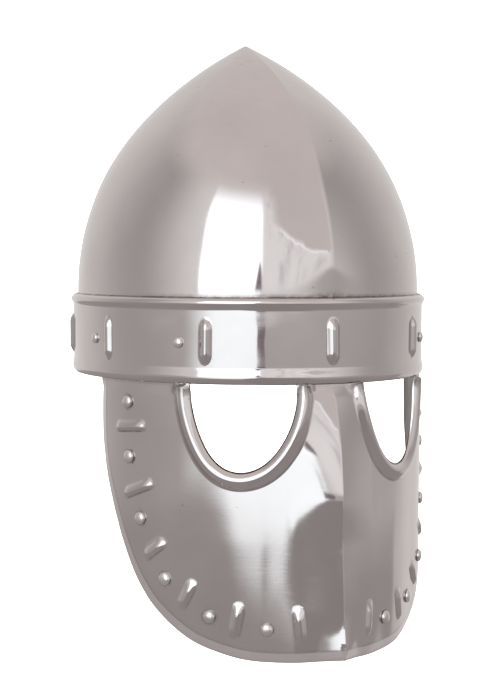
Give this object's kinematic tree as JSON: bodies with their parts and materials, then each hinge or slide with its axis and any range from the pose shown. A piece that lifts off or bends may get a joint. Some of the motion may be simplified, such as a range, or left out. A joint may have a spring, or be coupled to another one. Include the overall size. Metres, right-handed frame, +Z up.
{
  "type": "knight helmet",
  "caption": "Pointed steel helmet with a riveted brow band and a face plate with two eye openings; laced leather liner and a buckled chin strap stowed inside.",
  "frame": {"origin": "centre of the head opening, level with the brow band's lower edge", "axes": "+Z up through the skull's point, -Y out of the face plate, +X towards the wearer's left"},
  "size_m": [0.2124, 0.2606, 0.3517],
  "materials": {
    "polished_steel": "hand-polished, lightly scratched",
    "rivet_steel": "worn satin",
    "liner_leather": "waxed, matt",
    "strap_leather": "waxed, matt",
    "buckle_brass": "aged satin"
  },
  "bodies": {
    "helmet": {"skull": "polished_steel", "brow_band": "polished_steel", "face_plate": "polished_steel", "band_rivet_right_1": "rivet_steel", "band_rivet_right_2": "rivet_steel", "band_rivet_right_3": "rivet_steel", "band_rivet_right_4": "rivet_steel", "band_rivet_left_1": "rivet_steel", "band_rivet_left_2": "rivet_steel", "band_rivet_left_3": "rivet_steel", "band_rivet_left_4": "rivet_steel", "face_rivet_right_1": "rivet_steel", "face_rivet_right_2": "rivet_steel", "face_rivet_right_3": "rivet_steel", "face_rivet_right_4": "rivet_steel", "face_rivet_right_5": "rivet_steel", "face_rivet_right_6": "rivet_steel", "face_rivet_left_1": "rivet_steel", "face_rivet_left_2": "rivet_steel", "face_rivet_left_3": "rivet_steel", "face_rivet_left_4": "rivet_steel", "face_rivet_left_5": "rivet_steel", "face_rivet_left_6": "rivet_steel", "liner_headband": "liner_leather", "liner_leaf_1": "liner_leather", "liner_leaf_2": "liner_leather", "liner_leaf_3": "liner_leather", "liner_leaf_4": "liner_leather", "liner_leaf_5": "liner_leather", "liner_leaf_6": "liner_leather", "liner_leaf_7": "liner_leather", "liner_leaf_8": "liner_leather", "crown_lace": "strap_leather", "strap_rivet_right": "rivet_steel", "strap_washer_right": "rivet_steel", "strap_rivet_left": "rivet_steel", "strap_washer_left": "rivet_steel"},
    "long_strap": {"chin_strap_long": "strap_leather"},
    "short_strap": {"chin_strap_short": "strap_leather", "strap_keeper": "strap_leather"},
    "buckle": {"buckle_frame": "buckle_brass"},
    "prong": {"buckle_prong": "buckle_brass"}
  },
  "joints": [
    {"name": "long_strap_swing", "type": "hinge", "parent": "helmet", "child": "long_strap", "pos_m": [0.09366, -0.00588, 0.013], "axis": [-1, 0, 0], "range_deg": [0, 110]},
    {"name": "short_strap_swing", "type": "hinge", "parent": "helmet", "child": "short_strap", "pos_m": [-0.09366, -0.00588, 0.013], "axis": [-1, 0, 0], "range_deg": [0, 110]},
    {"name": "buckle_tilt", "type": "hinge", "parent": "short_strap", "child": "buckle", "pos_m": [-0.06129, 0.08152, 0.013], "axis": [0, 0, -1], "range_deg": [0, 70]},
    {"name": "prong_tilt", "type": "hinge", "parent": "buckle", "child": "prong", "pos_m": [-0.06129, 0.08152, 0.013], "axis": [0, 0, -1], "range_deg": [0, 50]}
  ]
}
